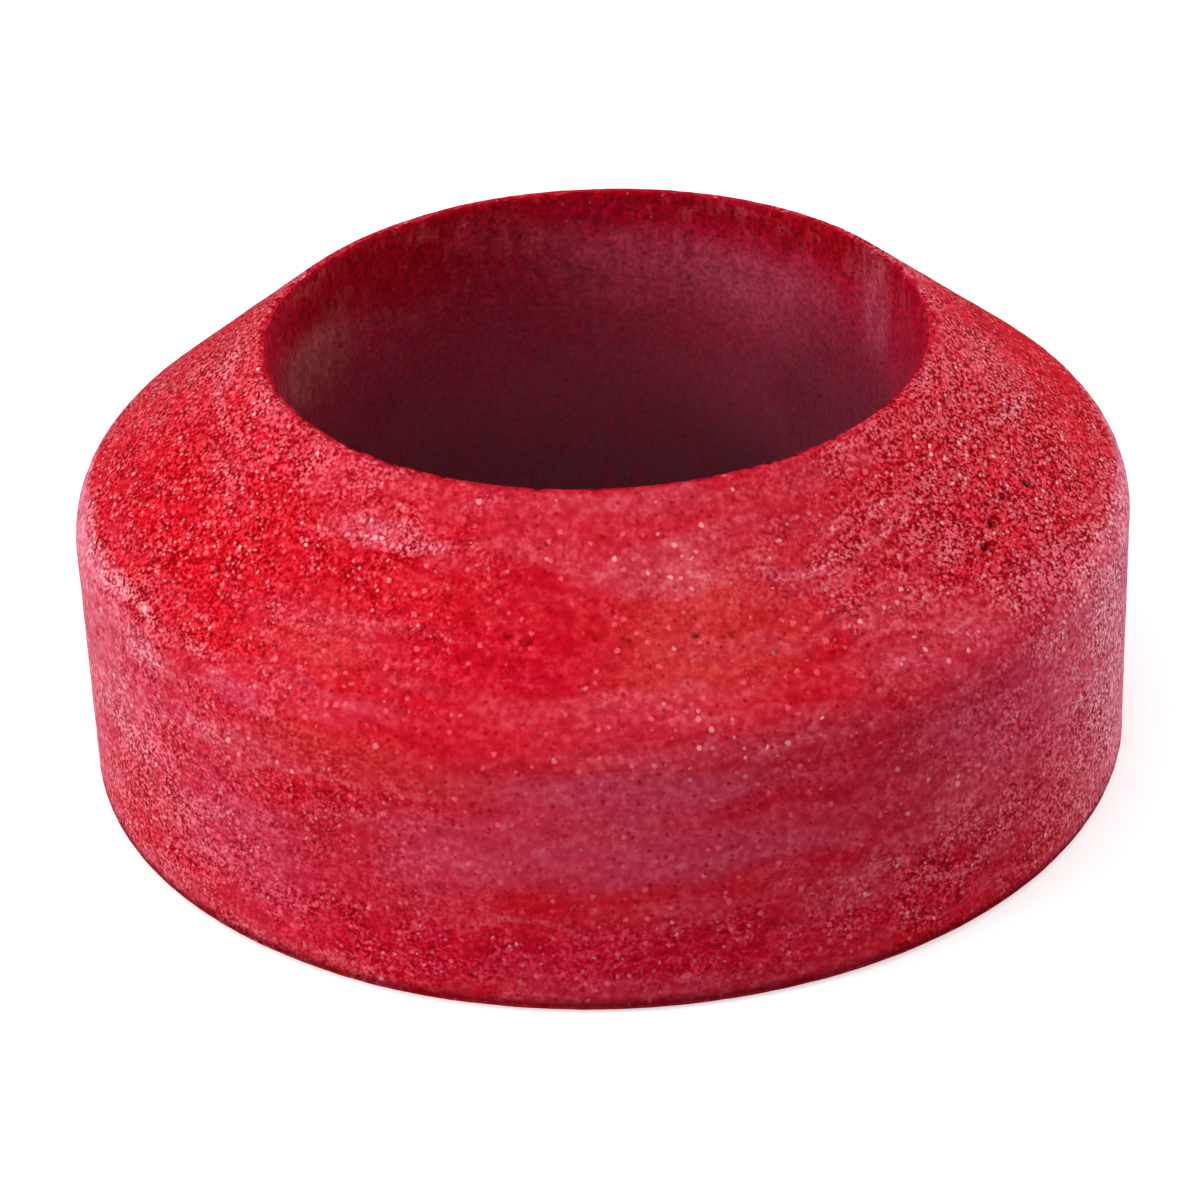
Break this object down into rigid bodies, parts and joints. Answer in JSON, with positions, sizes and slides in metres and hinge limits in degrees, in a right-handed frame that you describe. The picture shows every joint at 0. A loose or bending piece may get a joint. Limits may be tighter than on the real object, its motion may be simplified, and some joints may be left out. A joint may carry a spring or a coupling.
{
  "type": "tank to bowl gasket",
  "caption": "Round sponge rubber gasket with a straight through bore, an upright wall, a rounded shoulder and a tapered top; it seals a close-coupled cistern to its pan.",
  "frame": {"origin": "centre of the flat seat, on the bore's axis", "axes": "+Z along the bore's axis, from the flat seat up to the lip of the taper; the ring is the same all the way round, so +X is any direction across it"},
  "size_m": [0.0888, 0.0888, 0.0375],
  "materials": {
    "red_sponge_rubber": "matte"
  },
  "bodies": {
    "root": {"sponge_gasket": "red_sponge_rubber"}
  },
  "joints": []
}
